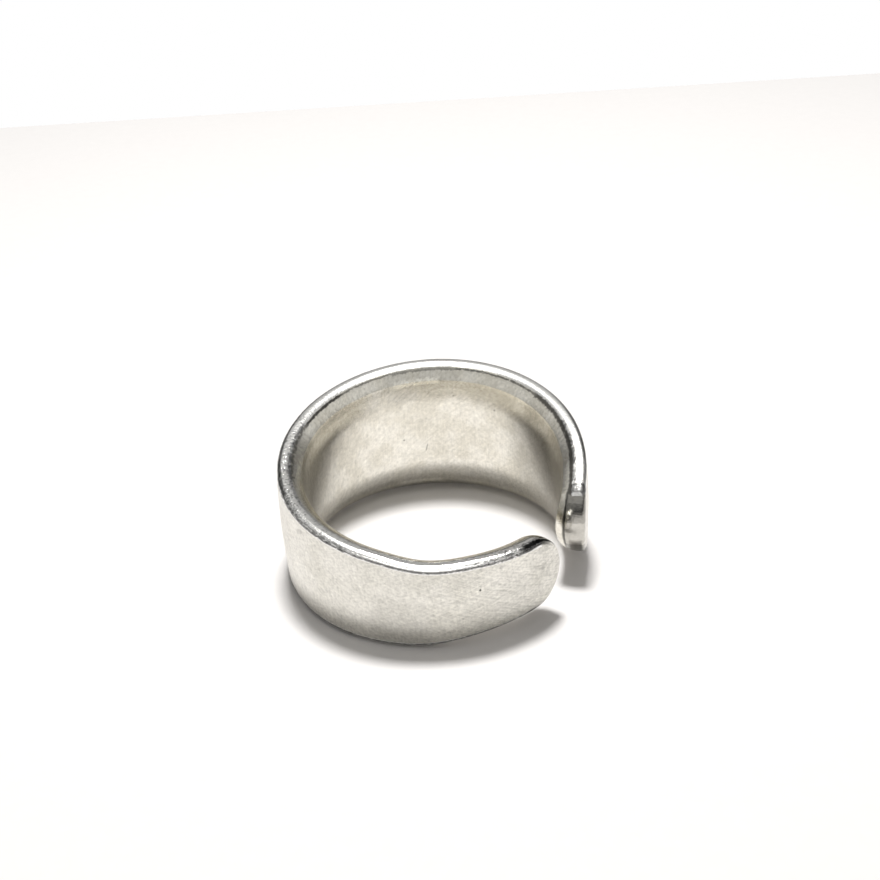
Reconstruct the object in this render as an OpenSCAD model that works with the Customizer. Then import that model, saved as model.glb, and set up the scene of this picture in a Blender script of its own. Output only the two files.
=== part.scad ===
// Open finger ring bent from one tapering, round-ended strip of silver.
// The strip is drawn flat, then bent round the finger, then laid on its edge.
// Flat coordinates are [s, v, u]: s along the strip from its right-hand end,
// v across the width from the centre line, u through the metal towards the outside.

/* [Finger hole] */
// Inside diameter, across the crest of the inner face
finger_d = 17.4; // [15:0.1:21]
// Depth of the round track that wear has left along that crest
worn_depth = 0.12; // [0.03:0.01:0.15]

/* [Metal] */
// Thickness of the metal along its edges, before the rounded bevel is added inside
rim_t = 1.15; // [1:0.05:2]
// Rise of the outer face from its edges to its centre line, at the widest place
outer_dome = 0.14; // [0:0.01:0.3]
// Rise of the inner face from the bevel to the centre line, before wear
inner_dome = 0.34; // [0.2:0.01:0.4]
// Reach of the rounded bevel all round the inner face, as a share of half the width
bevel_share = 0.18; // [0.1:0.01:0.22]
// Thickness that this bevel adds inside, up to the edge of the inner face
bevel_t = 0.5; // [0.1:0.05:0.6]
// Radius of the corner between the outer face and the rim
outer_corner = 0.42; // [0.1:0.01:0.5]

/* [Widths of the strip] */
// Width of the strip at its right-hand end, before the end is rounded
right_end_w = 4; // [3.5:0.1:7]
// Greatest width of the strip
widest_w = 11; // [8:0.1:13]
// Width of the strip at its front end, before the end is rounded
front_end_w = 5.5; // [3.5:0.1:7]
// How much deeper than the mirror image of its top edge the front's lower edge hangs
front_belly = 0.56; // [0:0.02:0.6]
// How far the rounding of the right-hand end reaches along the strip
right_round = 1.2; // [1:0.1:2]
// How far the rounding of the front end reaches along the strip
front_round = 2.1; // [1:0.1:3]
// How much flatter the ends are filed than the sides, 0 for the same rounding
end_flatness = 2; // [0:0.1:2]

/* [Bend] */
// Angle at which the round bend begins, seen from above, from the +X side
bend_from = -11; // [-15:1:10]
// Angle at which the round bend ends at the front end
bend_to = 320; // [300:1:325]
// Length of the right-hand arm, which runs straight off the bend
arm_len = 2; // [0.5:0.1:4]

/* [Resting pose] */
// Lean of the ring towards its narrow side as it lies on its edge
lean = 5.2; // [3:0.1:8]

/* [Hidden] */

bore_r = finger_d / 2;
// Radius of the bend, measured to the middle of the rim
mid_r = bore_r - worn_depth + inner_dome + bevel_t + rim_t / 2;
strip_len = arm_len + mid_r * (bend_to - bend_from) * PI / 180;

// Width of the strip along its length
// Columns: share of the length from the right-hand end, full width there, and
// the part of front_belly that the lower edge has there beyond half that width
SHARE = 0;
WIDTH = 1;
BELLY = 2;
WIDTHS = [
    [0.00, right_end_w, 0],
    [0.06, lerp(right_end_w, widest_w, 0.53), 0],
    [0.16, lerp(right_end_w, widest_w, 0.88), 0],
    [0.30, widest_w, 0],
    [0.46, lerp(front_end_w, widest_w, 0.87), 0],
    [0.62, lerp(front_end_w, widest_w, 0.56), 0],
    [0.78, lerp(front_end_w, widest_w, 0.32), 0.27],
    [0.84, lerp(front_end_w, widest_w, 0.11), 1],
    [0.90, lerp(front_end_w, widest_w, 0.11), -0.04],
    [1.00, front_end_w, -0.2],
];

// How finely the surface is divided
STATION_STEP = 0.66;
END_STEPS = 9;
FACE_STEPS = 8;
CORNER_STEPS = 4;
BEVEL_STEPS = 5;
BORE_FN = 180;
// Height of the cutter that wears the inner crest, well past both edges
CUTTER_H = 2 * widest_w;

function lerp(a, b, t) = a + (b - a) * t;

// Slope of one column of the width table at one of its rows
function row_slope(k, column) =
    let (a = WIDTHS[max(k - 1, 0)], b = WIDTHS[min(k + 1, len(WIDTHS) - 1)])
    (b[column] - a[column]) / (b[SHARE] - a[SHARE]);

// Index of the last row that starts at or before the given share of the length
function row_before(share, k = 0) =
    k + 2 >= len(WIDTHS) || WIDTHS[k + 1][SHARE] > share ? k : row_before(share, k + 1);

// Smooth curve through one column of the width table, at distance s
function from_table(s, column) =
    let (
        share = min(max(s / strip_len, 0), 1),
        k = row_before(share),
        a = WIDTHS[k],
        b = WIDTHS[k + 1],
        span = b[SHARE] - a[SHARE],
        t = (share - a[SHARE]) / span
    )
    (2 * pow(t, 3) - 3 * pow(t, 2) + 1) * a[column]
    + (pow(t, 3) - 2 * pow(t, 2) + t) * span * row_slope(k, column)
    + (3 * pow(t, 2) - 2 * pow(t, 3)) * b[column]
    + (pow(t, 3) - pow(t, 2)) * span * row_slope(k + 1, column);

// Half the width at distance s
function half_width(s) = 0.5 * from_table(s, WIDTH);

// One long side of the flat outline, from end to end
// Each end is an ellipse as wide as the strip, and the rest follows the width
// Columns: distance along the strip, distance from the centre line, and the
// direction across the edge, as an angle from 0 at the tip to 90 along the side
ALONG = 0;
ACROSS = 1;
TURN = 2;
middle_count = round((strip_len - right_round - front_round) / STATION_STEP);
outline = concat(
    [
        for (i = [0:END_STEPS - 1])
        let (a = 90 * (i + 0.5) / END_STEPS, s = right_round * (1 - cos(a)))
        [s, half_width(s) * sin(a), a]
    ],
    [
        for (i = [0:middle_count])
        let (s = lerp(right_round, strip_len - front_round, i / middle_count))
        [s, half_width(s), 90]
    ],
    [
        for (i = [END_STEPS - 1:-1:0])
        let (a = 90 * (i + 0.5) / END_STEPS, s = strip_len - front_round * (1 - cos(a)))
        [s, half_width(s) * sin(a), 180 - a]
    ]
);
last = len(outline) - 1;

// Place on the flat strip, the given distance in from the edge at outline point i
function in_from_edge(i, distance) =
    let (q = outline[i])
    [q[ALONG] + distance * cos(q[TURN]), q[ACROSS] - distance * sin(q[TURN])];

// Reach of the bevel across the inner face at distance s
function bevel_reach(s) = bevel_share * half_width(s);

// Distance of each face from the middle of the rim
// The outer rise shrinks with the width, while the inner rise stays the same
function outer_u(s, v) =
    let (rise = outer_dome * 2 * half_width(s) / widest_w)
    rim_t / 2 + rise * (1 - pow(v / (half_width(s) - outer_corner), 2));
function inner_u(s, v) =
    -rim_t / 2 - bevel_t - inner_dome * (1 - pow(v / (half_width(s) - bevel_reach(s)), 2));

// Power of the rounding at outline point i, which is 1 along the sides and higher
// round the ends, so that these are flat with a tighter corner
function filing(i) = 1 + end_flatness / 2 * (1 - sin(outline[i][TURN]));

// A point of the corner between the outer face and the rim at outline point i
// The corner turns from the rim at 0 degrees to the face at 90 degrees
function outer_corner_point(i, turn) =
    let (
        face = in_from_edge(i, outer_corner),
        q = in_from_edge(i, outer_corner * pow(1 - cos(turn), filing(i)))
    )
    [q[0], q[1], outer_u(face[0], face[1]) - outer_corner * (1 - sin(turn))];

// Foot of the bevel, where it meets the inner face, at outline point i
function bevel_foot(i) = in_from_edge(i, bevel_reach(outline[i][ALONG]));

// A point of the rounded bevel at outline point i
// The bevel is a parabola, from the crest of the rim at share 0 to its foot at share 1
function bevel_point(i, share) =
    let (
        foot = bevel_foot(i),
        q = in_from_edge(i, bevel_reach(outline[i][ALONG]) * pow(share, 2 * filing(i))),
        crest_u = outer_corner_point(i, 0)[2],
        foot_u = inner_u(foot[0], foot[1])
    )
    [q[0], q[1], lerp(crest_u, foot_u, share)];

function mirrored(p) = [p[0], -p[1], p[2]];

// Closed loop of flat points round the metal at outline point i:
// up the outer face, over the top rim and its bevel, down the inner face,
// and back under the bottom rim
function section(i) =
    let (
        outer_top = [
            for (k = [CORNER_STEPS - 1:-1:0]) outer_corner_point(i, 90 * k / CORNER_STEPS)
        ],
        bevel_top = [
            for (k = [1:BEVEL_STEPS - 1]) bevel_point(i, k / BEVEL_STEPS)
        ],
        outer_edge = in_from_edge(i, outer_corner),
        inner_edge = bevel_foot(i)
    )
    concat(
        [
            for (k = [0:FACE_STEPS])
            let (v = outer_edge[1] * (2 * k / FACE_STEPS - 1))
            [outer_edge[0], v, outer_u(outer_edge[0], v)]
        ],
        outer_top,
        bevel_top,
        [
            for (k = [0:FACE_STEPS])
            let (v = inner_edge[1] * (1 - 2 * k / FACE_STEPS))
            [inner_edge[0], v, inner_u(inner_edge[0], v)]
        ],
        [for (k = [BEVEL_STEPS - 2:-1:0]) mirrored(bevel_top[k])],
        [for (k = [CORNER_STEPS - 1:-1:0]) mirrored(outer_top[k])]
    );
loop_len = 2 * (FACE_STEPS + CORNER_STEPS + BEVEL_STEPS);

// Flat point with the lower edge drawn down to its belly, in proportion below the centre line
function bellied(p) =
    let (stretch = 1 + front_belly * from_table(p[0], BELLY) / half_width(p[0]))
    [p[0], p[1] < 0 ? p[1] * stretch : p[1], p[2]];

// Flat point bent round the finger, with the ring's axis along Z
function bent(p) =
    let (
        on_arm = p[0] < arm_len,
        a = on_arm ? bend_from : bend_from + (p[0] - arm_len) / mid_r * 180 / PI,
        off_bend = on_arm ? p[0] - arm_len : 0,
        r = mid_r + p[2]
    )
    [r * cos(a) - off_bend * sin(a), r * sin(a) + off_bend * cos(a), p[1]];

// Bent point with the ring leant over as it rests
function leant(q) = [q[0], q[1] * cos(lean) - q[2] * sin(lean), q[1] * sin(lean) + q[2] * cos(lean)];

band_points = [for (i = [0:last]) for (p = section(i)) bent(bellied(p))];
rest_points = [for (q = band_points) leant(q)];
low = [for (axis = [0:2]) min([for (q = rest_points) q[axis]])];
high = [for (axis = [0:2]) max([for (q = rest_points) q[axis]])];

// Loop place of the mirror image of loop place k, across the centre line
function mirror_place(k) = (FACE_STEPS - k + loop_len) % loop_len;

// Triangles that close the loop starting at point number base, at one end
function end_faces(base, flip) = [
    for (k = [FACE_STEPS / 2:FACE_STEPS / 2 + loop_len / 2 - 1])
    for (half = [0, 1])
    let (
        a = base + k,
        b = base + k + 1,
        c = base + mirror_place(k + 1),
        d = base + mirror_place(k),
        face = half == 0 ? [a, b, c] : [a, c, d]
    )
    if (face[0] != face[1] && face[1] != face[2] && face[0] != face[2])
    flip ? [face[2], face[1], face[0]] : face
];

// Triangles between each loop and the next
side_faces = [
    for (i = [0:last - 1])
    for (k = [0:loop_len - 1])
    for (half = [0, 1])
    let (
        a = i * loop_len + k,
        b = i * loop_len + (k + 1) % loop_len,
        c = a + loop_len,
        d = b + loop_len
    )
    half == 0 ? [a, c, b] : [b, c, d]
];

// The whole ring, from one strip: a swept body with a true round track inside
module ring_band() {
    color("silver")
        translate([-(low[0] + high[0]) / 2, -(low[1] + high[1]) / 2, -low[2]])
        rotate([lean, 0, 0])
        difference() {
            polyhedron(
                band_points,
                concat(side_faces, end_faces(0, false), end_faces(last * loop_len, true))
            );
            cylinder(h = CUTTER_H, r = bore_r, center = true, $fn = BORE_FN);
        }
}

ring_band();
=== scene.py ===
"""Looks of an open finger ring, bent from one tapering strip of silver, lying on its edge.

The ring's lengths are in millimetres and become metres when its mesh is made. The studio's
are in metres. The strip has flat coordinates: along from its right-hand end, across from its
centre line and through the metal towards the outside. Along and across are also kept on the
mesh as attributes, so that brushing and wear follow the strip round the bend.
"""

import logging
import math
from dataclasses import asdict, dataclass
from enum import Enum

import bpy
import numpy as np
from mathutils import Matrix, Vector


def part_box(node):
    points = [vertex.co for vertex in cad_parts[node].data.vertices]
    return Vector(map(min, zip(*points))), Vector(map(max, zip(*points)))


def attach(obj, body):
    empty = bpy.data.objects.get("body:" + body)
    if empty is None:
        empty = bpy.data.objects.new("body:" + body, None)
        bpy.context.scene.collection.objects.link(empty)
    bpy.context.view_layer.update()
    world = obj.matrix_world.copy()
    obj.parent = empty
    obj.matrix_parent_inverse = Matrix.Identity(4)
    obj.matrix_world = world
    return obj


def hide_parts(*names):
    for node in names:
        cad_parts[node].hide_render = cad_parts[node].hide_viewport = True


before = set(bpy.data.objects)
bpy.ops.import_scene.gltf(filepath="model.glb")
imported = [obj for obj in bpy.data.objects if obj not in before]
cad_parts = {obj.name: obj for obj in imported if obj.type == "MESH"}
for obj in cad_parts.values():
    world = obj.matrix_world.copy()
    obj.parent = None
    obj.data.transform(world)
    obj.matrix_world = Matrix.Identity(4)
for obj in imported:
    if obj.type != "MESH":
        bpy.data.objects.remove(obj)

log = logging.getLogger("ring")

MM = 0.001
NODE = "ring_band"
BODY = "root"
ROUND_AT_CENTRE = 5.0

RGB = tuple[float, float, float]
Place = tuple[float, float, float]
Curve = tuple[tuple[float, float], ...]
Socket = bpy.types.NodeSocket
Value = float | Socket


class Zone(Enum):
    """Finished zones of the strip's surface, in the order of the mesh's material slots."""

    OUTER_FACE = 0
    RIM = 1
    INNER_FACE = 2
    FILED_END = 3


class Trace(Enum):
    """Attributes on the mesh.

    ALONG and ACROSS are the strip's flat coordinates in millimetres. ROUND is the place on
    the way round a section: -1 all over the outer face, 0 at the crest of the rim, 1 at the
    edge of the inner face, and ROUND_AT_CENTRE at its centre line. WEAR is the strength of
    the dents in the rim.
    """

    ALONG = "strip_along"
    ACROSS = "strip_across"
    ROUND = "edge_round"
    WEAR = "edge_wear"


class NodeBench:
    """Adds and joins the nodes of one shader tree."""

    def __init__(self, tree: bpy.types.NodeTree) -> None:
        """Keeps the node tree to work on."""
        self.tree = tree

    def fill(self, socket: Socket, value: object) -> None:
        """Gives an input its value.

        Args:
            socket: The input.
            value: A source socket to join to it, or a constant.
        """
        if isinstance(value, Socket):
            self.tree.links.new(value, socket)
        else:
            socket.default_value = value

    def add(
        self, kind: str, values: dict[str | int, object] | None = None, **settings: object
    ) -> bpy.types.Node:
        """Adds a node.

        Args:
            kind: Blender's name of the node type.
            values: Constants or source sockets for its inputs, by input name or place.
            settings: Properties of the node itself, which are set first.

        Returns:
            The new node.
        """
        node = self.tree.nodes.new(kind)
        for name, value in settings.items():
            setattr(node, name, value)
        for key, value in (values or {}).items():
            self.fill(node.inputs[key], value)
        return node

    def put(self, group: bpy.types.NodeTree, values: dict[str, object]) -> bpy.types.Node:
        """Adds a shared group, with constants or source sockets for its inputs."""
        return self.add("ShaderNodeGroup", values, node_tree=group)

    def math(self, operation: str, first: Value, second: Value = 0.0, clamp: bool = False) -> Socket:
        """Returns the result of a Math node, held between 0 and 1 if clamp is set."""
        values = {0: first, 1: second}
        return self.add("ShaderNodeMath", values, operation=operation, use_clamp=clamp).outputs[0]

    def plus(self, first: Value, second: Value) -> Socket:
        """Returns the sum of two values."""
        return self.math("ADD", first, second)

    def minus(self, first: Value, second: Value) -> Socket:
        """Returns the first value less the second."""
        return self.math("SUBTRACT", first, second)

    def times(self, first: Value, second: Value, clamp: bool = False) -> Socket:
        """Returns the product of two values, held between 0 and 1 if clamp is set."""
        return self.math("MULTIPLY", first, second, clamp)

    def vector(self, operation: str, values: dict[str | int, object]) -> Socket:
        """Returns the result of a Vector Math node, by Blender's name of the operation."""
        return self.add("ShaderNodeVectorMath", values, operation=operation).outputs[0]

    def xyz(self, x: Value, y: Value = 0.0, z: Value = 0.0) -> Socket:
        """Returns a vector made of three values."""
        return self.add("ShaderNodeCombineXYZ", {0: x, 1: y, 2: z}).outputs[0]

    def turned(self, vector: Socket, degrees: Socket) -> Socket:
        """Returns a vector turned about Z by an angle in degrees."""
        values = {"Vector": vector, "Angle": self.times(degrees, math.radians(1.0))}
        return self.add("ShaderNodeVectorRotate", values, rotation_type="Z_AXIS").outputs[0]

    def spread(
        self, value: Value, low: float, high: float, to_low: float = 0.0, to_high: float = 1.0
    ) -> Socket:
        """Returns a value carried smoothly from one range to another, and held at its ends."""
        values = {"Value": value, "From Min": low, "From Max": high, "To Min": to_low, "To Max": to_high}
        return self.add("ShaderNodeMapRange", values, interpolation_type="SMOOTHSTEP").outputs["Result"]

    def noise(self, vector: Socket, scale: Value, detail: float = 3.0, roughness: float = 0.6) -> Socket:
        """Returns a Noise texture's value: scale lumps per unit, with detail finer layers."""
        values = {"Vector": vector, "Scale": scale, "Detail": detail, "Roughness": roughness}
        return self.add("ShaderNodeTexNoise", values).outputs["Fac"]

    def blend(self, share: Value, first: object, second: object) -> Socket:
        """Returns a mix of two colours, each a constant or a socket, by the second one's share."""
        node = self.add("ShaderNodeMix", {0: share, 6: first, 7: second}, data_type="RGBA")
        return node.outputs[2]

    def ramp(self, place: Socket, stops: list[tuple[float, RGB]], steps: bool = False) -> Socket:
        """Returns the colour of a Color Ramp.

        Args:
            place: Place on the ramp, from 0 to 1.
            stops: Places with their colours.
            steps: Whether a colour holds up to the next stop instead of running into it.

        Returns:
            The colour.
        """
        node = self.add("ShaderNodeValToRGB", {0: place})
        node.color_ramp.interpolation = "CONSTANT" if steps else "LINEAR"
        elements = node.color_ramp.elements
        while len(elements) < len(stops):
            elements.new(0.5)
        for element, (position, colour) in zip(elements, stops):
            element.position = position
            element.color = opaque(colour)
        return node.outputs[0]

    def trace(self, name: Trace) -> Socket:
        """Returns the value of one of the strip's attributes."""
        return self.add("ShaderNodeAttribute", attribute_name=name.value).outputs["Fac"]


def linked(name: str, data: bpy.types.ID) -> bpy.types.Object:
    """Makes an object and links it to the scene.

    Args:
        name: Name of the object.
        data: Its mesh, light or camera.

    Returns:
        The object.
    """
    made = bpy.data.objects.new(name, data)
    bpy.context.scene.collection.objects.link(made)
    return made


def opaque(colour: RGB) -> tuple[float, float, float, float]:
    """Returns the colour with an alpha of one."""
    return (*colour, 1.0)


class WearAndPaintedLightGroups:
    """Shader node groups that the metal's finishes share, for wear and for painted light and shade."""

    def __init__(self) -> None:
        """Builds the groups."""
        self.clouds = self._clouds()
        self.lines = self._lines()
        self.seam = self._seam()
        self.mark = self._mark()

    @staticmethod
    def _shell(name: str, *labels: str) -> tuple[NodeBench, dict[str, Socket]]:
        """Makes an empty group with its inputs.

        Args:
            name: Name of the group.
            labels: Names of its inputs. Place is a vector, and the others are values.

        Returns:
            The bench, and the inputs as sources inside the group, by name.
        """
        bench = NodeBench(bpy.data.node_groups.new(name, "ShaderNodeTree"))
        for label in labels:
            kind = "NodeSocketVector" if label == "Place" else "NodeSocketFloat"
            bench.tree.interface.new_socket(label, in_out="INPUT", socket_type=kind)
        given = bench.add("NodeGroupInput").outputs
        return bench, {label: given[label] for label in labels}

    @staticmethod
    def _closed(bench: NodeBench, results: dict[str, Socket]) -> bpy.types.NodeTree:
        """Gives a group its outputs.

        Args:
            bench: Bench of the group.
            results: Sources of the outputs, which are values, by name.

        Returns:
            The finished group.
        """
        for label in results:
            bench.tree.interface.new_socket(label, in_out="OUTPUT", socket_type="NodeSocketFloat")
        bench.add("NodeGroupOutput", results)
        return bench.tree

    def _clouds(self) -> bpy.types.NodeTree:
        """Makes the group for uneven handling: broad clouds, fine grain and small pits.

        Clouds are slow noise and the grain is fast noise. A pit lies where a cell's centre is
        nearer than the pit size, in the few cells whose random colour passes a threshold.
        Height is the grain plus twice the clouds less two and a half times the pits.

        Returns:
            The group.
        """
        steepness, chosen_from = 14.0, 0.72
        bench, given = self._shell(
            "handling_clouds", "Place", "Cloud Scale", "Grain Scale", "Pit Scale", "Pit Size"
        )
        place = given["Place"]
        clouds = bench.noise(place, given["Cloud Scale"], 4.0, 0.55)
        grain = bench.noise(place, given["Grain Scale"], 2.0)
        values = {"Vector": place, "Scale": given["Pit Scale"], "Randomness": 1.0}
        cells = bench.add("ShaderNodeTexVoronoi", values)
        nearness = bench.minus(given["Pit Size"], cells.outputs["Distance"])
        pits = bench.times(nearness, steepness, clamp=True)
        red = bench.add("ShaderNodeSeparateColor", {0: cells.outputs["Color"]}).outputs[0]
        pits = bench.times(pits, bench.math("GREATER_THAN", red, chosen_from))
        height = bench.plus(grain, bench.times(clouds, 2.0))
        height = bench.minus(height, bench.times(pits, 2.5))
        return self._closed(bench, {"Clouds": clouds, "Grain": grain, "Pits": pits, "Height": height})

    def _lines(self) -> bpy.types.NodeTree:
        """Makes the group for one direction of fine brushing and stray scratches.

        The flat place on the strip is turned by an angle and stretched, so that noise read
        there runs in long thin lines. Brushing is that noise, and a scratch is where a
        sparser copy of it comes close to its middle value.

        Returns:
            The group.
        """
        stretch, thinness = (0.9, 6.5, 1.0), 90.0
        bench, given = self._shell("brushed_lines", "Along", "Across", "Turn")
        turned = bench.turned(bench.xyz(given["Along"], given["Across"]), given["Turn"])
        place = bench.vector("MULTIPLY", {0: turned, 1: stretch})
        sparse = bench.noise(place, 0.22, 1.0, 0.4)
        off = bench.math("ABSOLUTE", bench.minus(sparse, 0.5))
        scratches = bench.math("MAXIMUM", bench.minus(1.0, bench.times(off, thinness)), 0.0)
        return self._closed(bench, {"Brushing": bench.noise(place, 1.0), "Scratches": scratches})

    def _seam(self) -> bpy.types.NodeTree:
        """Makes the group for a thin line of painted light and shade that follows the edge of the strip.

        The line is a peak of the given half width about one place on the way round the edge.
        It fades out beyond its two ends, and noise makes it wander, frays it and breaks it up.
        Kept is one less the shade times the line.

        Returns:
            The group.
        """
        wandering, round_scale, fade = 0.12, 1.5, 0.4
        bench, given = self._shell(
            "painted_edge_line", "Round", "Along", "Centre", "Half Width", "Start", "Stop", "Shade", "Breaks"
        )
        along, way_round, half = given["Along"], given["Round"], given["Half Width"]
        wander = bench.noise(bench.xyz(along), 1.3, 4.0)
        shifted = bench.plus(given["Centre"], bench.times(bench.minus(wander, 0.5), wandering))
        flat = bench.xyz(along, bench.times(way_round, round_scale))
        fray = bench.plus(bench.times(half, 1.2), 0.05)
        frayed = bench.times(bench.minus(bench.noise(flat, 5.0, 2.0), 0.5), fray)
        off = bench.math("ABSOLUTE", bench.minus(way_round, bench.plus(shifted, frayed)))
        peak = bench.times(bench.minus(1.0, bench.math("DIVIDE", off, half)), 2.0, clamp=True)
        after, before = bench.minus(along, given["Start"]), bench.minus(given["Stop"], along)
        inside = bench.spread(bench.math("MINIMUM", after, before), -fade, fade)
        whole = bench.times(bench.minus(bench.noise(flat, 2.6), given["Breaks"]), 9.0, clamp=True)
        line = bench.times(bench.times(peak, inside), whole)
        return self._closed(bench, {"Kept": bench.minus(1.0, bench.times(line, given["Shade"]))})

    def _mark(self) -> bpy.types.NodeTree:
        """Makes the group for one small mark, an ellipse on the flat strip with a ragged edge.

        Kept is one less the shade times the mark.

        Returns:
            The group.
        """
        place = ("Along", "Across", "At Along", "At Across")
        bench, given = self._shell("small_mark", *place, "Long", "Wide", "Turn", "Shade", "Ragged")
        off_along = bench.minus(given["Along"], given["At Along"])
        off_across = bench.minus(given["Across"], given["At Across"])
        turned = bench.turned(bench.xyz(off_along, off_across), given["Turn"])
        scaled = bench.vector("DIVIDE", {0: turned, 1: bench.xyz(given["Long"], given["Wide"], 1.0)})
        far = bench.add("ShaderNodeVectorMath", {0: scaled}, operation="LENGTH").outputs["Value"]
        edge = bench.times(bench.minus(bench.noise(scaled, 2.2), 0.5), given["Ragged"])
        mark = bench.spread(bench.plus(far, edge), 1.0, 0.55)
        return self._closed(bench, {"Kept": bench.minus(1.0, bench.times(mark, given["Shade"]))})


# A value of PaintedLine.breaks
WHOLE = -1.0


@dataclass(frozen=True)
class PaintedLine:
    """A painted line along the edge, darker for shade and dark reflections, lighter for highlights.

    Attributes:
        centre: Place on the way round the edge, as in Trace.ROUND.
        half_width: Half of its width there.
        start: Distance along the strip where it begins.
        stop: Distance along the strip where it ends.
        shade: Share of the metal's colour that it takes away, negative for a light line.
        breaks: Share of it that is missing, roughly. WHOLE leaves it unbroken.
    """

    centre: float
    half_width: float
    start: float
    stop: float
    shade: float
    breaks: float = 0.3


@dataclass(frozen=True)
class Mark:
    """A small ragged mark.

    Attributes:
        at_along: Distance along the strip.
        at_across: Distance from the centre line.
        long: Half of its length.
        wide: Half of its width.
        turn: Direction of its length, in degrees from the strip's.
        shade: Share of the metal's colour that it takes away, negative for a light mark.
        ragged: Unevenness of its edge.
    """

    at_along: float
    at_across: float
    long: float
    wide: float
    turn: float = 0.0
    shade: float = 0.5
    ragged: float = 0.5


@dataclass(frozen=True)
class Brush:
    """Brushing in one direction.

    Attributes:
        turn: Direction, in degrees from the strip's length.
        tone: Change of brightness that it makes.
        tone_beyond: The same beyond the finish's brush_rise.
    """

    turn: float
    tone: float
    tone_beyond: float = 0.0


@dataclass(frozen=True)
class Handling:
    """Lumps per millimetre of clouds, grain and pits, and a pit's reach as a share of their spacing."""

    cloud_scale: float
    grain_scale: float
    pit_scale: float = 1.1
    pit_size: float = 0.1


@dataclass(frozen=True)
class SilverFinish:
    """One finish of the silver.

    Attributes:
        name: Name of the material.
        clean: Colour of the bright metal.
        dull: Colour where handling has dulled it.
        smooth: Roughness where it is rubbed.
        rough: Roughness where it is not.
        handling: Sizes of the clouds, the grain and the pits.
        grain_depth: Depth of grain and clouds. All depths are in millimetres.
        brushes: The brushing, by direction.
        brush_rise: Distances along the strip between which the brushing's tone changes.
        brush_depth: Depth of the brushing.
        scratch_depth: Depth of the stray scratches.
        grain_tone: Change of brightness that the grain makes.
        dent_depth: Depth of the dents where Trace.WEAR is one.
        dent_even: Depth of the dents that is the same everywhere.
        dent_scale: Dents per millimetre.
        hollow_shade: Share of the colour that hollows lack where Trace.WEAR is one.
        crest_drop: Depth by which the rim's crest falls towards the outside along the front.
        seams: Painted lines of shade, dark reflection and highlight along the edge.
        marks: Small marks, and broad darker patches; those on the inner face are painted shade.
        bands: Distances across, from the lower edge up, where bands of painted reflection begin,
        each with the share of the colour that its band has.
    """

    name: str
    clean: RGB
    dull: RGB
    smooth: float
    rough: float
    handling: Handling
    grain_depth: float = 0.002
    brushes: tuple[Brush, ...] = ()
    brush_rise: tuple[float, float] = (90.0, 100.0)
    brush_depth: float = 0.0
    scratch_depth: float = 0.0
    grain_tone: float = 0.0
    dent_depth: float = 0.0
    dent_even: float = 0.0
    dent_scale: float = 3.0
    hollow_shade: float = 0.0
    crest_drop: float = 0.0
    seams: tuple[PaintedLine, ...] = ()
    marks: tuple[Mark, ...] = ()
    bands: tuple[tuple[float, float], ...] = ()


def group_inputs(record: PaintedLine | Mark | Handling) -> dict[str, float]:
    """Returns a record's fields by the names of a group's inputs, half_width as Half Width."""
    return {name.replace("_", " ").title(): value for name, value in asdict(record).items()}


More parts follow.
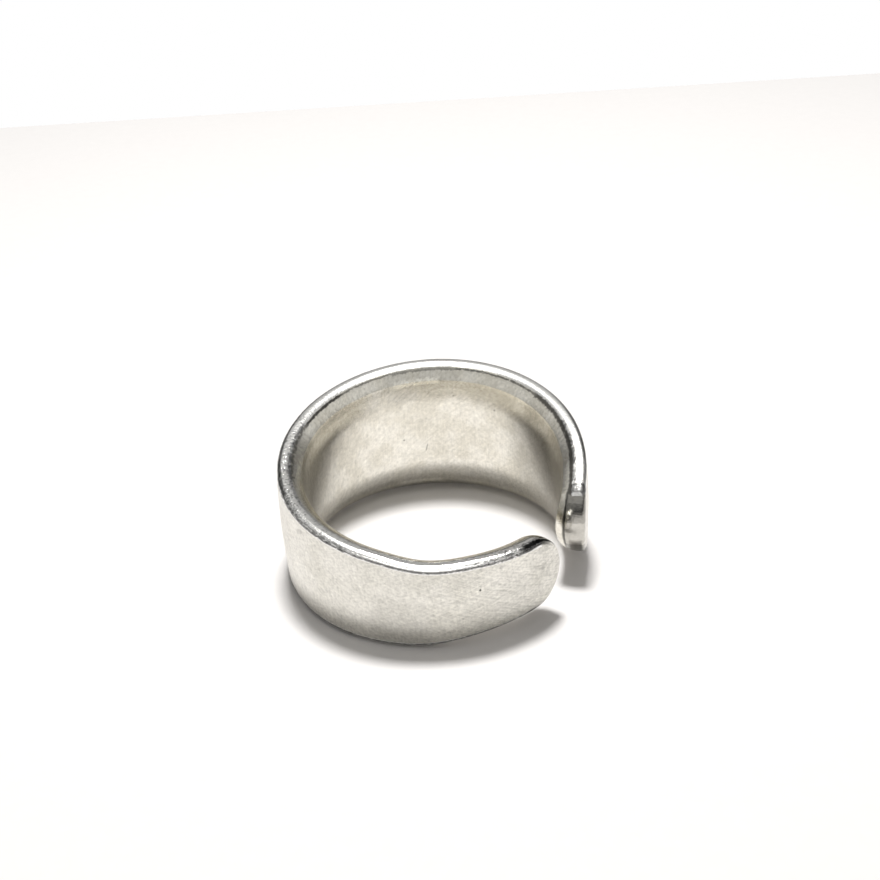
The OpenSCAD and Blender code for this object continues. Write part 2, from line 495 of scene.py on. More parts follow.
class SilverShader:
    """Puts one finish together as a material.

    Attributes:
        height: Height of the surface in millimetres, to which each step adds.
        light: Brightness as a share of the metal's colour, which each step changes.
    """

    def __init__(self, finish: SilverFinish, wear: WearAndPaintedLightGroups) -> None:
        """Starts the material with its clouds, grain and pits.

        Args:
            finish: The finish.
            wear: The shared groups.
        """
        self.finish, self.wear = finish, wear
        self.made = bpy.data.materials.new(finish.name)
        self.made.use_nodes = True
        self.bench = bench = NodeBench(self.made.node_tree)
        bench.tree.nodes.clear()
        metres = bench.add("ShaderNodeTexCoord").outputs["Object"]
        self.place = bench.vector("SCALE", {0: metres, "Scale": 1.0 / MM})
        self.flat = {"Along": bench.trace(Trace.ALONG), "Across": bench.trace(Trace.ACROSS)}
        self.way_round, self.worn = bench.trace(Trace.ROUND), bench.trace(Trace.WEAR)
        handling = {"Place": self.place, **group_inputs(finish.handling)}
        self.clouds = bench.put(wear.clouds, handling).outputs
        self.height = bench.times(self.clouds["Height"], finish.grain_depth)
        grain = bench.minus(self.clouds["Grain"], 0.5)
        self.light = bench.plus(1.0, bench.times(grain, finish.grain_tone))

    def brush(self) -> None:
        """Adds the brushing and its stray scratches, in each of the finish's directions."""
        bench, finish, scratch_share = self.bench, self.finish, 0.2
        for brush in finish.brushes:
            lines = bench.put(self.wear.lines, {**self.flat, "Turn": brush.turn}).outputs
            brushing, scratches = lines["Brushing"], lines["Scratches"]
            raised = bench.plus(self.height, bench.times(brushing, finish.brush_depth))
            self.height = bench.minus(raised, bench.times(scratches, finish.scratch_depth))
            tone = bench.spread(self.flat["Along"], *finish.brush_rise, brush.tone, brush.tone_beyond)
            both = bench.minus(bench.minus(brushing, 0.5), bench.times(scratches, scratch_share))
            self.light = bench.plus(self.light, bench.times(both, tone))

    def dent(self) -> None:
        """Adds the dents, which are noise, and darkens their hollows where the rim is worn."""
        bench, finish = self.bench, self.finish
        dents = bench.noise(self.place, finish.dent_scale, 3.0, 0.55)
        deep = bench.plus(bench.times(self.worn, finish.dent_depth), finish.dent_even)
        self.height = bench.plus(self.height, bench.times(dents, deep))
        if finish.hollow_shade:
            hollows = bench.times(bench.spread(dents, 0.36, 0.47, 1.0, 0.0), self.worn)
            kept = bench.minus(1.0, bench.times(hollows, finish.hollow_shade))
            self.light = bench.times(self.light, kept)

    def tilt_crest(self) -> None:
        """Adds the height that tilts the rim's crest along the front.

        Three smooth steps over the way round add up: the crest's own, half as much inside it
        and 1.2 times as much back again at the outer corner. A factor that rises and falls
        along the front multiplies their sum.
        """
        bench, along, drop = self.bench, self.flat["Along"], self.finish.crest_drop
        crest = bench.spread(self.way_round, -0.22, 0.14, 0.0, drop)
        inside = bench.spread(self.way_round, 0.14, 0.34, 0.0, 0.5 * drop)
        corner = bench.spread(self.way_round, -0.70, -0.42, 1.2 * drop, 0.0)
        rising = bench.spread(along, 34.0, 43.0)
        front = bench.times(rising, bench.spread(along, 53.0, 56.0, 1.0, 0.0))
        tilt = bench.times(bench.plus(bench.plus(crest, inside), corner), front)
        self.height = bench.plus(self.height, tilt)

    def mark(self) -> None:
        """Shades the painted lines and the marks."""
        edge = {"Round": self.way_round, "Along": self.flat["Along"]}
        for group, place, records in (
            (self.wear.seam, edge, self.finish.seams),
            (self.wear.mark, self.flat, self.finish.marks),
        ):
            for record in records:
                kept = self.bench.put(group, {**place, **group_inputs(record)}).outputs["Kept"]
                self.light = self.bench.times(self.light, kept)

    def band(self) -> None:
        """Paints reflections as bands across, with slightly uneven borders between them."""
        bench, reach, unevenness = self.bench, 8.0, 0.25
        uneven = bench.times(bench.minus(bench.noise(self.place, 2.5), 0.5), unevenness)
        across = bench.plus(self.flat["Across"], uneven)
        stops = [(start / reach + 0.5, (share, share, share)) for start, share in self.finish.bands]
        colour = bench.ramp(bench.plus(bench.math("DIVIDE", across, reach), 0.5), stops, steps=True)
        share = bench.add("ShaderNodeSeparateColor", {0: colour}).outputs[0]
        self.light = bench.times(self.light, share)

    def material(self) -> bpy.types.Material:
        """Takes the finish's steps and joins their results to the metal's shader.

        Returns:
            The material.
        """
        bench, finish, pit_share = self.bench, self.finish, 0.35
        self.brush()
        if finish.dent_depth or finish.dent_even:
            self.dent()
        if finish.crest_drop:
            self.tilt_crest()
        self.mark()
        if finish.bands:
            self.band()
        dulled = bench.spread(self.clouds["Clouds"], 0.36, 0.64)
        tone = bench.blend(dulled, opaque(finish.clean), opaque(finish.dull))
        pit_colour = opaque(tuple(pit_share * part for part in finish.dull))
        tone = bench.blend(self.clouds["Pits"], tone, pit_colour)
        light = bench.xyz(self.light, self.light, self.light)
        bump = bench.add("ShaderNodeBump", {"Strength": 1.0, "Distance": MM, "Height": self.height})
        surface = {
            "Metallic": 1.0,
            "Base Color": bench.vector("MULTIPLY", {0: tone, 1: light}),
            "Roughness": bench.spread(self.clouds["Clouds"], 0.3, 0.7, finish.smooth, finish.rough),
            "Normal": bump.outputs[0],
        }
        shader = bench.add("ShaderNodeBsdfPrincipled", surface)
        bench.add("ShaderNodeOutputMaterial", {"Surface": shader.outputs[0]})
        return self.made


def seams(*rows: tuple[float, ...]) -> tuple[PaintedLine, ...]:
    """Returns painted lines from rows of centre, half width, start, stop, shade and breaks."""
    return tuple(PaintedLine(*row) for row in rows)


# Painted on rim, bevel and inner face: dark reflections between rim and bevel and on the bevel,
# painted highlights towards the bevel's foot, a painted bright streak at the back, painted shade past it
RIM_PAINTED_LINES = seams(
    (0.54, 0.13, -2.0, 10.5, 0.80, 0.25),
    (0.54, 0.06, 10.5, 17.5, 0.70, 0.35),
    (0.54, 0.12, 17.5, 22.3, 0.52, 0.05),
    (0.54, 0.06, 22.3, 26.5, 0.60, 0.30),
    (0.54, 0.08, 26.5, 31.0, 0.88, 0.20),
    (0.46, 0.17, 31.0, 37.0, 0.55, 0.40),
    (0.92, 0.34, 4.0, 17.0, -0.17, WHOLE),
    (0.84, 0.36, 23.0, 38.0, -0.22, WHOLE),
    (0.42, 0.13, 2.0, 7.0, 0.55, 0.45),
    (1.25, 0.36, 22.8, 34.0, 0.16, WHOLE),
    (1.06, 0.20, 18.8, 22.4, -0.31, WHOLE),
)
# Painted dark reflections round the front end, on the rim and its outer corner
TIP_PAINTED_LINES = seams(
    (-0.30, 0.42, 56.5, 58.2, 0.98, 0.10),
    (-0.34, 0.22, 57.7, 59.5, 0.95, 0.10),
    (-0.70, 0.16, 56.4, 58.7, 0.60, 0.20),
)
# Painted dark reflections along the crest of the rim and its outer corner
EDGE_PAINTED_LINES = seams(
    (-0.42, 0.16, -2.0, 5.0, 0.60, 0.30),
    (-0.25, 0.13, 24.0, 32.0, 0.50, 0.35),
    (-0.35, 0.24, 31.0, 38.5, 0.62, 0.42),
    (-0.60, 0.26, 36.5, 45.0, 0.58, 0.40),
    (0.44, 0.20, 37.0, 49.0, 0.30, 0.30),
    (-0.82, 0.12, 37.0, 57.5, 0.70, 0.36),
    (-0.35, 0.22, 52.5, 56.9, 0.50, 0.42),
    (0.34, 0.08, 49.0, 58.0, 0.55, 0.35),
)
# Painted shade: a dark line round the right-hand end where the end face meets the bevel
END_PAINTED_SHADE = seams((0.66, 0.07, -2.0, 1.2, 0.75, 0.3))

SATIN = SilverFinish(
    "satin_silver",
    clean=(0.76, 0.745, 0.695),
    dull=(0.70, 0.685, 0.63),
    smooth=0.30,
    rough=0.38,
    handling=Handling(0.3, 4.6, 0.45, 0.05),
    brushes=(Brush(84.0, 0.34, 0.30), Brush(28.0, 0.34, 0.80), Brush(-22.0, 0.34, 0.55)),
    brush_rise=(47.0, 56.0),
    brush_depth=0.0014,
    scratch_depth=0.0008,
    grain_tone=0.62,
    seams=TIP_PAINTED_LINES,
    marks=(
        Mark(53.5, 0.92, 0.085, 0.12, shade=0.85, ragged=0.2),
        Mark(58.0, 0.64, 0.22, 0.16, 30.0, shade=0.22),
        Mark(41.0, 2.97, 0.55, 0.22, -30.0, shade=0.22),
        Mark(48.4, -1.3, 2.6, 2.4, shade=0.11, ragged=0.5),
        Mark(60.0, -2.2, 9.0, 5.0, shade=0.13, ragged=0.2),
        Mark(58.1, 2.15, 0.7, 0.35, 20.0, shade=0.20, ragged=0.8),
    ),
)
POLISHED = SilverFinish(
    "polished_silver",
    clean=(0.96, 0.955, 0.945),
    dull=(0.86, 0.855, 0.84),
    smooth=0.06,
    rough=0.12,
    handling=Handling(0.8, 5.0, 2.2, 0.10),
    grain_depth=0.003,
    grain_tone=0.3,
    dent_depth=0.036,
    dent_even=0.002,
    dent_scale=6.0,
    crest_drop=0.034,
    hollow_shade=0.55,
    seams=(*RIM_PAINTED_LINES, *TIP_PAINTED_LINES, *EDGE_PAINTED_LINES),
    # A painted dark reflection, speckled, on the rim near the right-hand end
    marks=(Mark(1.35, 2.8, 0.40, 0.6, shade=0.60, ragged=1.0),),
)
WORN = SilverFinish(
    "worn_silver",
    clean=(0.77, 0.75, 0.69),
    dull=(0.68, 0.655, 0.585),
    smooth=0.17,
    rough=0.27,
    handling=Handling(0.55, 4.2, 1.0, 0.07),
    grain_depth=0.004,
    brushes=(Brush(88.0, 0.30), Brush(40.0, 0.30)),
    brush_depth=0.0012,
    scratch_depth=0.0015,
    grain_tone=0.55,
    dent_even=0.008,
    dent_scale=2.2,
    seams=(*RIM_PAINTED_LINES, *END_PAINTED_SHADE),
    marks=(
        Mark(21.9, -0.33, 0.09, 0.09, shade=0.6, ragged=0.2),
        Mark(13.9, 2.64, 0.09, 0.09, shade=0.6, ragged=0.2),
        Mark(20.0, -1.25, 0.07, 0.45, -18.0, shade=0.45),
        Mark(26.6, -0.7, 0.16, 0.22, shade=0.18),
        Mark(26.5, -2.1, 0.12, 0.16, shade=0.22),
        # Painted shade: on the right of the inner face, and along its lower edge by the sheet
        Mark(9.8, 0.6, 3.8, 4.4, shade=0.20, ragged=0.3),
        Mark(18.5, -4.2, 15.0, 1.9, shade=0.20, ragged=0.3),
    ),
)
FILED = SilverFinish(
    "filed_silver",
    clean=(0.80, 0.78, 0.725),
    dull=(0.72, 0.70, 0.645),
    smooth=0.14,
    rough=0.24,
    handling=Handling(1.4, 5.0),
    grain_depth=0.006,
    brushes=(Brush(90.0, 0.2),),
    brush_depth=0.003,
    scratch_depth=0.002,
    grain_tone=0.35,
    dent_even=0.012,
    dent_scale=3.2,
    seams=END_PAINTED_SHADE,
    # Painted reflections on the end face, from the bottom: the sheet in shadow, the lit sheet, the sheet
    # further off, then the dark room and the grey above it
    bands=((-4.0, 0.42), (-1.35, 0.72), (0.65, 0.50), (1.28, 0.36), (1.95, 0.48)),
)

FINISHES = dict(zip(Zone, (SATIN, POLISHED, WORN, FILED)))

# Shares of the strip's length from the right-hand end, how far the width has grown there from
# the nearer end's to the widest, and the part of the belly that the lower edge has there
WIDTH_SHARES = (0.0, 0.06, 0.16, 0.30, 0.46, 0.62, 0.78, 0.84, 0.90, 1.0)
WIDTH_RISES = (0.0, 0.53, 0.88, 1.0, 0.87, 0.56, 0.32, 0.11, 0.11, 0.0)
BELLY_SHARES = (0.0, 0.0, 0.0, 0.0, 0.0, 0.0, 0.27, 1.0, -0.04, -0.2)
# Distance along of each worn place on the rim, its reach and the strength of its dents
WORN_PLACES = ((1.5, 3.5, 0.8), (36.5, 7.5, 0.85), (55.5, 3.0, 0.9))


@dataclass(frozen=True)
class Mesh:
    """A closed grid surface.

    Attributes:
        points: Places of the vertices, in metres.
        faces: Vertex numbers of the faces.
        zones: Zone number of each face.
        traces: Value of each attribute on the vertices.
    """

    points: np.ndarray
    faces: list[list[int]]
    zones: np.ndarray
    traces: dict[Trace, np.ndarray]


@dataclass
class RingBand:
    """The strip, bent round the finger and laid on its edge.

    Angles are in degrees. A name ends in _w for a width, in _t for a thickness, in _d for a
    diameter, in _r for a radius and in _len for a length along the strip.
    """

    finger_d: float = 17.4
    worn_depth: float = 0.12
    rim_t: float = 1.15
    outer_dome: float = 0.14
    inner_dome: float = 0.34
    bevel_share: float = 0.18
    bevel_t: float = 0.5
    outer_corner: float = 0.42
    right_end_w: float = 4.0
    widest_w: float = 11.0
    front_end_w: float = 5.5
    right_round: float = 1.2
    front_round: float = 2.1
    front_belly: float = 0.56
    end_flatness: float = 2.0
    bend_from: float = -11.0
    bend_to: float = 320.0
    arm_len: float = 2.0
    lean: float = 5.2
    station_step: float = 0.13
    end_steps: int = 26
    face_steps: int = 28
    corner_steps: int = 10
    bevel_steps: int = 15
    polished_share: float = 0.47
    filed_half: float = 2.35
    filed_share: float = 0.68
    front_satin: float = 0.85
    worn_edge: float = 0.012
    wear_even: float = 0.12

    @property
    def bore_r(self) -> float:
        """Radius of the round track inside."""
        return self.finger_d / 2

    @property
    def mid_r(self) -> float:
        """Radius of the bend at the middle of the rim."""
        return self.bore_r - self.worn_depth + self.inner_dome + self.bevel_t + self.rim_t / 2

    @property
    def strip_len(self) -> float:
        """Length of the flat strip."""
        return self.arm_len + self.mid_r * math.radians(self.bend_to - self.bend_from)

    def along_table(self, along: np.ndarray, values: np.ndarray) -> np.ndarray:
        """Smooth curve along the strip through values at ten shares of its length.

        The curve is a piecewise cubic. Its slope at each of the shares is that of the line
        through the two neighbouring values.

        Args:
            along: Distances from the right-hand end.
            values: Values at the ten shares.

        Returns:
            Values at the distances.
        """
        share = np.array(WIDTH_SHARES)
        before = np.maximum(np.arange(share.size) - 1, 0)
        after = np.minimum(np.arange(share.size) + 1, share.size - 1)
        slope = (values[after] - values[before]) / (share[after] - share[before])
        at = np.clip(along / self.strip_len, 0.0, 1.0)
        row = np.clip(np.searchsorted(share, at, side="right") - 1, 0, share.size - 2)
        span = share[row + 1] - share[row]
        t = (at - share[row]) / span
        eased = values[row] + t**2 * (3 - 2 * t) * (values[row + 1] - values[row])
        return eased + t * (1 - t) * span * ((1 - t) * slope[row] - t * slope[row + 1])

    def half_width(self, along: np.ndarray) -> np.ndarray:
        """Half the strip's width, which grows from both ends to the widest place.

        Args:
            along: Distances from the right-hand end.

        Returns:
            Half widths at those distances.
        """
        start = np.where(np.array(WIDTH_SHARES) < 0.3, self.right_end_w, self.front_end_w)
        width = start + (self.widest_w - start) * np.array(WIDTH_RISES)
        return 0.5 * self.along_table(along, width)

    def bellied(self, flat: np.ndarray) -> np.ndarray:
        """Draws the lower edge down to its belly, in proportion below the centre line.

        Args:
            flat: Points with along, across and through as their last axis.

        Returns:
            The changed points.
        """
        along, across, through = np.moveaxis(flat, -1, 0)
        extra = self.front_belly * self.along_table(along, np.array(BELLY_SHARES))
        stretch = np.where(across < 0.0, 1.0 + extra / self.half_width(along), 1.0)
        return np.stack([along, across * stretch, through], axis=-1)

    def outline(self) -> tuple[np.ndarray, np.ndarray, np.ndarray]:
        """One long side of the flat strip, from end to end.

        Each end is a quarter ellipse as high as half the width there, and between them the
        side follows the width.

        Returns:
            Distances along, distances across, and the direction out of the metal as an angle
            that runs from 0 at the right-hand tip over 90 degrees to 180 at the front tip.
        """
        turn = np.radians(90 * (np.arange(self.end_steps) + 0.5) / self.end_steps)
        start = self.right_round * (1 - np.cos(turn))
        end = self.strip_len - self.front_round * (1 - np.cos(turn[::-1]))
        count = int(round((self.strip_len - self.right_round - self.front_round) / self.station_step))
        middle = np.linspace(self.right_round, self.strip_len - self.front_round, count + 1)
        along = np.concatenate([start, middle, end])
        turns = np.concatenate([turn, np.full(middle.size, math.pi / 2), math.pi - turn[::-1]])
        return along, self.half_width(along) * np.sin(turns), turns

    def outer_height(self, along: np.ndarray, across: np.ndarray) -> np.ndarray:
        """Height of the outer face: the rim's plus a parabola across, in proportion to the width.

        Args:
            along: Distances along the strip.
            across: Distances from the centre line.

        Returns:
            Heights through the metal.
        """
        half = self.half_width(along)
        parabola = 1 - (across / (half - self.outer_corner)) ** 2
        return self.rim_t / 2 + self.outer_dome * 2 * half / self.widest_w * parabola

    def inner_height(self, along: np.ndarray, across: np.ndarray) -> np.ndarray:
        """Height of the inner face: below the bevel by a parabola across, so it is negative."""
        foot = self.half_width(along) * (1 - self.bevel_share)
        return -self.rim_t / 2 - self.bevel_t - self.inner_dome * (1 - (across / foot) ** 2)

    def sections(self) -> tuple[np.ndarray, np.ndarray]:
        """Closed loops of flat points round the metal, one for each outline point.

        A loop runs up the outer face, over the top rim, down the inner face and back under the
        bottom rim. The outer corner is a quarter circle. From the crest of the rim to the edge
        of the inner face runs a rounded bevel, a parabola whose reach grows with the square of
        its depth. Round the ends both have higher powers, so that the ends are filed flatter.

        Returns:
            Flat points as an array of loops, places and coordinates, and the place of each
            loop point on the way round the edge, as in Trace.ROUND.
        """
        along, across, turns = self.outline()
        along, across, turns = along[:, None], across[:, None], turns[:, None]

        def inward(distance: np.ndarray) -> tuple[np.ndarray, np.ndarray]:
            """Returns the places that lie the given distances in from the edge."""
            return along + distance * np.cos(turns), across - distance * np.sin(turns)

        arc = np.radians(90 * np.arange(self.corner_steps) / self.corner_steps)[None, :]
        face_s, face_v = inward(np.full((along.size, 1), self.outer_corner))
        filing = 1.0 + self.end_flatness / 2 * (1 - np.sin(turns))
        corner_s, corner_v = inward(self.outer_corner * (1 - np.cos(arc)) ** filing)
        corner_u = self.outer_height(face_s, face_v) - self.outer_corner * (1 - np.sin(arc))

        reach = self.bevel_share * self.half_width(along)
        foot_s, foot_v = inward(reach)
        depth = np.arange(1, self.bevel_steps)[None, :] / self.bevel_steps
        bevel_s, bevel_v = inward(reach * depth ** (2 * filing))
        crest_u = corner_u[:, :1]
        bevel_u = crest_u + (self.inner_height(foot_s, foot_v) - crest_u) * depth

        share = np.linspace(-1, 1, self.face_steps + 1)[None, :]
        outer_s, outer_v = np.broadcast_to(face_s, (along.size, share.size)), face_v * share
        inner_s, inner_v = np.broadcast_to(foot_s, (along.size, share.size)), -foot_v * share
        pieces = [
            (outer_s, outer_v, self.outer_height(outer_s, outer_v)),
            (corner_s[:, ::-1], corner_v[:, ::-1], corner_u[:, ::-1]),
            (bevel_s, bevel_v, bevel_u),
            (inner_s, inner_v, self.inner_height(inner_s, inner_v)),
            (bevel_s[:, ::-1], -bevel_v[:, ::-1], bevel_u[:, ::-1]),
            (corner_s, -corner_v, corner_u),
        ]
        axes = [np.concatenate([piece[axis] for piece in pieces], axis=1) for axis in range(3)]
        corner_round = -np.arange(self.corner_steps) / self.corner_steps
        bevel_round = depth[0]
        face_round = np.ones(self.face_steps + 1)
        inner_round = 1.0 + (ROUND_AT_CENTRE - 1.0) * (1.0 - np.abs(share[0]))
        down = [-face_round, corner_round[::-1], bevel_round, inner_round]
        return np.stack(axes, axis=-1), np.concatenate([*down, bevel_round[::-1], corner_round])

    def zones(self, flat: np.ndarray, way_round: np.ndarray) -> np.ndarray:
        """Zone of the face that starts at each point of each loop.

        The rim's polish ends at polished_share, part of the way down the bevel. At the
        right-hand end the middle is filed, from the outer corner to filed_share on the bevel.
        At the front end the satin of the outer face runs over the outer corner.

        Args:
            flat: Flat points of the loops.
            way_round: Place of each loop point on the way round the edge.

        Returns:
            Zone numbers, one for each loop and place.
        """
        following = np.roll(way_round, -1)
        outer = (way_round <= -1.0) & (following <= -1.0)
        furthest = np.maximum(way_round, following)
        inner = furthest > self.polished_share
        found = np.full(flat.shape[:2], Zone.RIM.value)
        found[:, outer] = Zone.OUTER_FACE.value
        found[:, inner] = Zone.INNER_FACE.value
        along, across = flat[:, :, 0], np.abs(flat[:, :, 1])
        rim = found == Zone.RIM.value
        edge = ~outer & (furthest <= self.filed_share)
        found[edge & (along < self.right_round) & (across < self.filed_half)] = Zone.FILED_END.value
        before_crest = (np.minimum(way_round, following) < 0.0)[None, :]
        front = along > self.strip_len - self.front_satin * self.front_round
        found[rim & front & before_crest] = Zone.OUTER_FACE.value
        return found

    def bend(self, flat: np.ndarray) -> np.ndarray:
        """Carries flat points round the finger, with the ring's axis along Z.

        Past the arm, the angle grows with the distance along and the radius is the bend's plus
        the distance through the metal. On the arm, points run straight off the bend. Inside,
        no point comes nearer to the axis than the worn track, with a soft start to it.

        Args:
            flat: Points with along, across and through as their last axis.

        Returns:
            Bent points in millimetres.
        """
        along, across, through = np.moveaxis(flat, -1, 0)
        past = along - self.arm_len
        angle = math.radians(self.bend_from) + np.maximum(past, 0.0) / self.mid_r
        off = np.minimum(past, 0.0)
        radius = self.mid_r + through
        x = radius * np.cos(angle) - off * np.sin(angle)
        y = radius * np.sin(angle) + off * np.cos(angle)
        from_axis = np.hypot(x, y)
        clear = from_axis - self.bore_r
        worn = self.bore_r + 0.5 * (clear + np.sqrt(clear**2 + self.worn_edge**2))
        pull = np.where(through < 0.0, worn / from_axis, 1.0)
        return np.stack([x * pull, y * pull, across], axis=-1)

    def rest(self, bent: np.ndarray) -> np.ndarray:
        """Leans the ring over X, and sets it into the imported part's box.

        The finer surface would stand out of that box by some micrometres, so it is drawn in
        by that much along each axis.

        Args:
            bent: Bent points in millimetres.

        Returns:
            Places in metres.
        """
        lean = math.radians(self.lean)
        cos, sin = math.cos(lean), math.sin(lean)
        places = bent @ np.array([[1, 0, 0], [0, cos, -sin], [0, sin, cos]]).T * MM
        low, high = (np.array(corner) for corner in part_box(NODE))
        own_low, own_high = places.reshape(-1, 3).min(axis=0), places.reshape(-1, 3).max(axis=0)
        fit = np.minimum((high - low) / (own_high - own_low), 1.0)
        middle = (low + high) / 2
        middle[2] = low[2] + (own_high[2] - own_low[2]) * fit[2] / 2
        return middle + (places - (own_low + own_high) / 2) * fit

    def wear(self, along: np.ndarray) -> np.ndarray:
        """Strength of the dents: a little everywhere, and three bell curves where they are dense.

        Args:
            along: Distances along the strip.

        Returns:
            Strengths from about 0.1 to 1.
        """
        bells = (weight * np.exp(-(((along - at) / reach) ** 2)) for at, reach, weight in WORN_PLACES)
        return self.wear_even + sum(bells)

    def surface(self) -> Mesh:
        """The whole closed surface, its faces pointing outwards.

        Quads join each loop to the next. At both ends the last thin loop is closed by strips
        that join each of its places to the mirror image across the centre line.

        Returns:
            The surface.
        """
        flat, way_round = self.sections()
        loops, size = flat.shape[:2]
        number = np.arange(loops * size).reshape(loops, size)
        following = np.roll(number, -1, axis=1)
        side = np.stack([number[:-1], number[1:], following[1:], following[:-1]], axis=-1)

        half = self.face_steps // 2
        run = np.arange(half, half + size // 2) % size
        ahead = (run + 1) % size
        mirror = (self.face_steps - np.arange(size)) % size
        strips = np.stack([run, ahead, mirror[ahead], mirror[run]], axis=-1)
        whole, tips = strips[1:-1], np.stack([strips[0, [0, 1, 2]], strips[-1, [0, 1, 3]]])
        far = (loops - 1) * size
        quads = np.concatenate([side.reshape(-1, 4), whole, whole[:, ::-1] + far])
        caps = np.concatenate([tips, tips[:, ::-1] + far])

        zones = self.zones(flat, way_round)
        right, front = zones[0, run], zones[-1, run]
        closing = [right[1:-1], front[1:-1], right[[0, -1]], front[[0, -1]]]
        points = self.rest(self.bend(self.bellied(flat))).reshape(-1, 3)
        traces = {
            Trace.ALONG: flat[:, :, 0],
            Trace.ACROSS: flat[:, :, 1],
            Trace.ROUND: np.broadcast_to(way_round, (loops, size)),
            Trace.WEAR: self.wear(flat[:, :, 0]),
        }
        traces = {name: values.reshape(-1) for name, values in traces.items()}
        faces = quads.tolist() + caps.tolist()
        return Mesh(points, faces, np.concatenate([zones[:-1].reshape(-1), *closing]), traces)

    def build(self, wear: WearAndPaintedLightGroups) -> bpy.types.Object:
        """Makes the ring's object, with its attributes and materials.

        Args:
            wear: The shared shader groups.

        Returns:
            The object.
        """
        made = self.surface()
        data = bpy.data.meshes.new("silver_band")
        data.from_pydata(made.points.tolist(), [], made.faces, shade_flat=False)
        data.polygons.foreach_set("material_index", made.zones.astype(np.int32))
        self._crease(data)
        for name, values in made.traces.items():
            attribute = data.attributes.new(name.value, "FLOAT", "POINT")
            attribute.data.foreach_set("value", values.astype(np.float32))
        for zone in Zone:
            data.materials.append(SilverShader(FINISHES[zone], wear).material())
        band = linked("silver_band", data)
        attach(band, BODY)
        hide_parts(NODE)
        return band

    def _crease(self, data: bpy.types.Mesh) -> None:
        """Marks the edges along both feet of the bevel as sharp.

        Args:
            data: The mesh, with its vertices in the order of the loops.
        """
        top_foot = self.face_steps + self.corner_steps + self.bevel_steps
        ends = np.empty(2 * len(data.edges), dtype=np.int32)
        data.edges.foreach_get("vertices", ends)
        place = ends.reshape(-1, 2) % (2 * top_foot)
        level = place[:, 0] == place[:, 1]
        foot = np.isin(place[:, 0], (top_foot, top_foot + self.face_steps))
        sharp = data.attributes.new("sharp_edge", "BOOLEAN", "EDGE")
        sharp.data.foreach_set("value", level & foot)


# Elevations in degrees, each with the brightness there, for three parts of the room
BEHIND: Curve = (
    (-90, 0.15), (5, 0.12), (14, 0.36), (30, 0.38), (46, 0.46), (58, 0.62), (67, 1.2), (74, 2.2), (90, 2.2)
)
FLANKS: Curve = (
    (-90, 0.15), (5, 0.12), (14, 0.15), (42, 0.13), (52, 0.42), (62, 1.3), (70, 2.2), (90, 2.2)
)
FRONT: Curve = (
    (-90, 0.12), (5, 0.10), (14, 0.40), (26, 0.62), (48, 0.58), (58, 0.45), (64, 0.8), (71, 2.2), (90, 2.2)
)


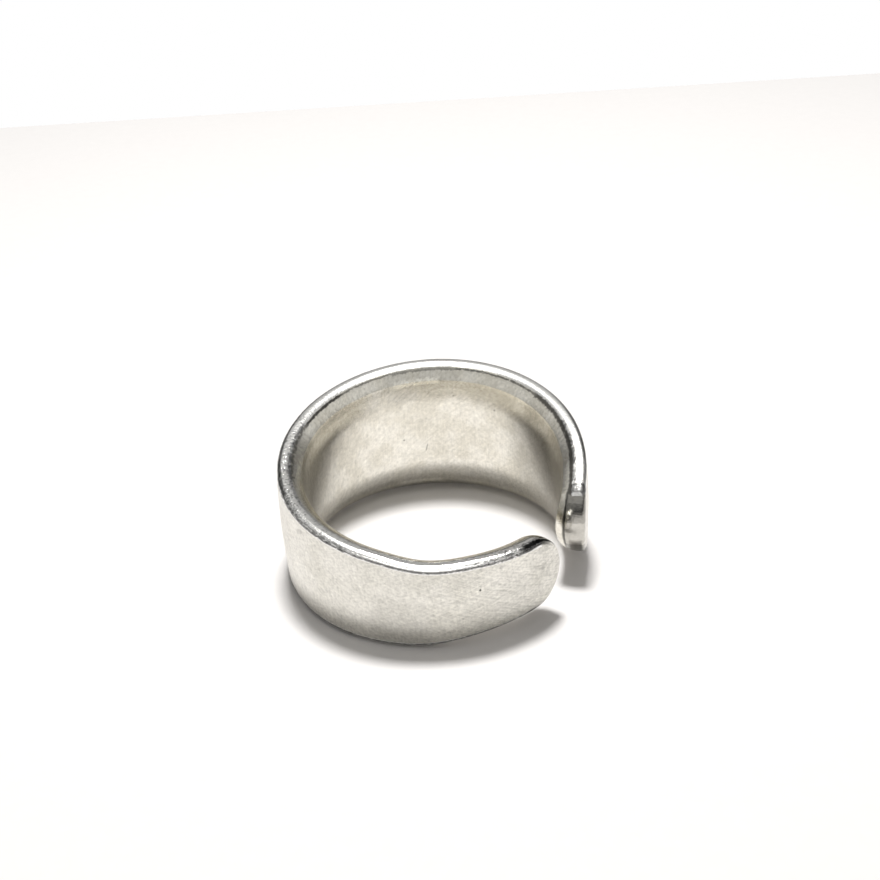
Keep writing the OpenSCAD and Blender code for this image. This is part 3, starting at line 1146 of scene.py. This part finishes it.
@dataclass
class Studio:
    """A white sheet, a soft lamp overhead and the room that the metal reflects."""

    floor_half: float = 0.10
    floor_colour: RGB = (0.915, 0.895, 0.885)
    fibre_share: float = 0.96
    lamp_place: Place = (0.0015, 0.036, 0.261)
    lamp_across: float = 0.050
    lamp_power: float = 0.655
    lamp_colour: RGB = (1.0, 0.995, 0.985)
    room_tint: RGB = (1.0, 0.99, 0.965)
    shade_share: float = 0.36
    camera_place: Place = (0.00039, -0.09540, 0.06561)
    camera_right: Place = (0.99803, -0.03375, -0.05287)
    camera_forward: Place = (0.00244, 0.86311, -0.50501)
    lens: float = 66.51

    def floor(self) -> None:
        """Makes the sheet that the ring lies on."""
        half = self.floor_half
        corners = [(-half, -half, 0), (half, -half, 0), (half, half, 0), (-half, half, 0)]
        data = bpy.data.meshes.new("white_sheet")
        data.from_pydata(corners, [], [(0, 1, 2, 3)])
        made = bpy.data.materials.new("white_paper")
        made.use_nodes = True
        bench = NodeBench(made.node_tree)
        place = bench.add("ShaderNodeTexCoord").outputs["Object"]
        fibres = bench.noise(place, 900.0, 4.0)
        fibre = tuple(self.fibre_share * part for part in self.floor_colour)
        tone = bench.blend(fibres, opaque(self.floor_colour), opaque(fibre))
        sockets = made.node_tree.nodes["Principled BSDF"].inputs
        for name, value in (("Base Color", tone), ("Roughness", 0.9), ("Specular IOR Level", 0.1)):
            bench.fill(sockets[name], value)
        data.materials.append(made)
        sheet = linked("white_sheet", data)

    def lamp(self) -> None:
        """Makes the soft round lamp, 26 cm above the sheet."""
        data = bpy.data.lights.new("overhead_lamp", "AREA")
        data.shape = "DISK"
        data.size = self.lamp_across
        data.energy = self.lamp_power
        data.color = self.lamp_colour
        lamp = linked("overhead_lamp", data)
        lamp.location = self.lamp_place
        lamp.rotation_mode = "QUATERNION"
        lamp.rotation_quaternion = Vector(self.lamp_place).to_track_quat("Z", "Y")

    def room(self) -> None:
        """Sets the room: a bright diffuser overhead and grey walls, darkest on both flanks.

        Brightness depends on the height of the direction above the horizon, with one curve each
        for the wall straight behind the ring, the flanks on both sides of it and the viewer's
        half. They blend over the cosine of the azimuth, which is the direction's part along Y
        divided by its level length. The sheet's own shadows see a dimmer room than the metal
        does, which keeps them as deep as under a single lamp.
        """
        world = bpy.data.worlds.new("room")
        bpy.context.scene.world = world
        world.use_nodes = True
        bench = NodeBench(world.node_tree)
        bench.tree.nodes.clear()
        direction = bench.add("ShaderNodeTexCoord").outputs["Generated"]
        split = bench.add("ShaderNodeSeparateXYZ", {0: direction}).outputs
        rise = split["Z"]
        height = bench.plus(bench.times(rise, 0.5), 0.5)
        behind, flanks, front = (self._curve(bench, height, curve) for curve in (BEHIND, FLANKS, FRONT))
        level_squared = bench.math("MAXIMUM", bench.minus(1.0, bench.times(rise, rise)), 0.0001)
        azimuth = bench.math("DIVIDE", split["Y"], bench.math("SQRT", level_squared))
        colour = bench.blend(bench.spread(azimuth, 0.84, 0.96), flanks, behind)
        colour = bench.blend(bench.spread(azimuth, 0.25, 0.60), front, colour)
        path = bench.add("ShaderNodeLightPath").outputs
        backdrop = bench.blend(path["Is Camera Ray"], colour, opaque((1.0, 1.0, 1.0)))
        strength = bench.minus(1.0, bench.times(path["Is Diffuse Ray"], 1.0 - self.shade_share))
        shader = bench.add("ShaderNodeBackground", {"Color": backdrop, "Strength": strength})
        bench.add("ShaderNodeOutputWorld", {"Surface": shader.outputs[0]})

    def _curve(self, bench: NodeBench, height: Socket, curve: Curve) -> Socket:
        """Colours directions by their height above the horizon.

        Args:
            bench: Bench of the world's tree.
            height: Half the direction's Z plus a half.
            curve: Elevations with their brightness.

        Returns:
            The room's colour.
        """
        stops = [
            (0.5 + 0.5 * math.sin(math.radians(elevation)), tuple(value * part for part in self.room_tint))
            for elevation, value in curve
        ]
        return bench.ramp(height, stops)

    def camera(self) -> None:
        """Makes the camera at the photograph's angle."""
        data = bpy.data.cameras.new("camera")
        data.sensor_width = 36.0
        data.lens = self.lens
        data.clip_start = 0.005
        data.clip_end = 5.0
        camera = linked("camera", data)
        right = Vector(self.camera_right).normalized()
        forward = Vector(self.camera_forward).normalized()
        up = right.cross(forward).normalized()
        right = forward.cross(up).normalized()
        turn = Matrix((right, up, -forward)).transposed().to_4x4()
        camera.matrix_world = Matrix.Translation(self.camera_place) @ turn
        bpy.context.scene.camera = camera

    def build(self) -> None:
        """Makes the floor, the lamp, the room and the camera, and sets a plain colour view."""
        self.floor()
        self.lamp()
        self.room()
        self.camera()
        view = bpy.context.scene.view_settings
        view.view_transform = "Standard"
        view.look = "None"


def main() -> None:
    """Builds the studio and the ring, in that order."""
    logging.basicConfig(level=logging.INFO, format="%(name)s: %(message)s")
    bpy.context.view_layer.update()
    Studio().build()
    log.info("studio ready")
    band = RingBand().build(WearAndPaintedLightGroups())
    log.info("%s: %d faces", band.name, len(band.data.polygons))


if __name__ == "__main__":
    main()
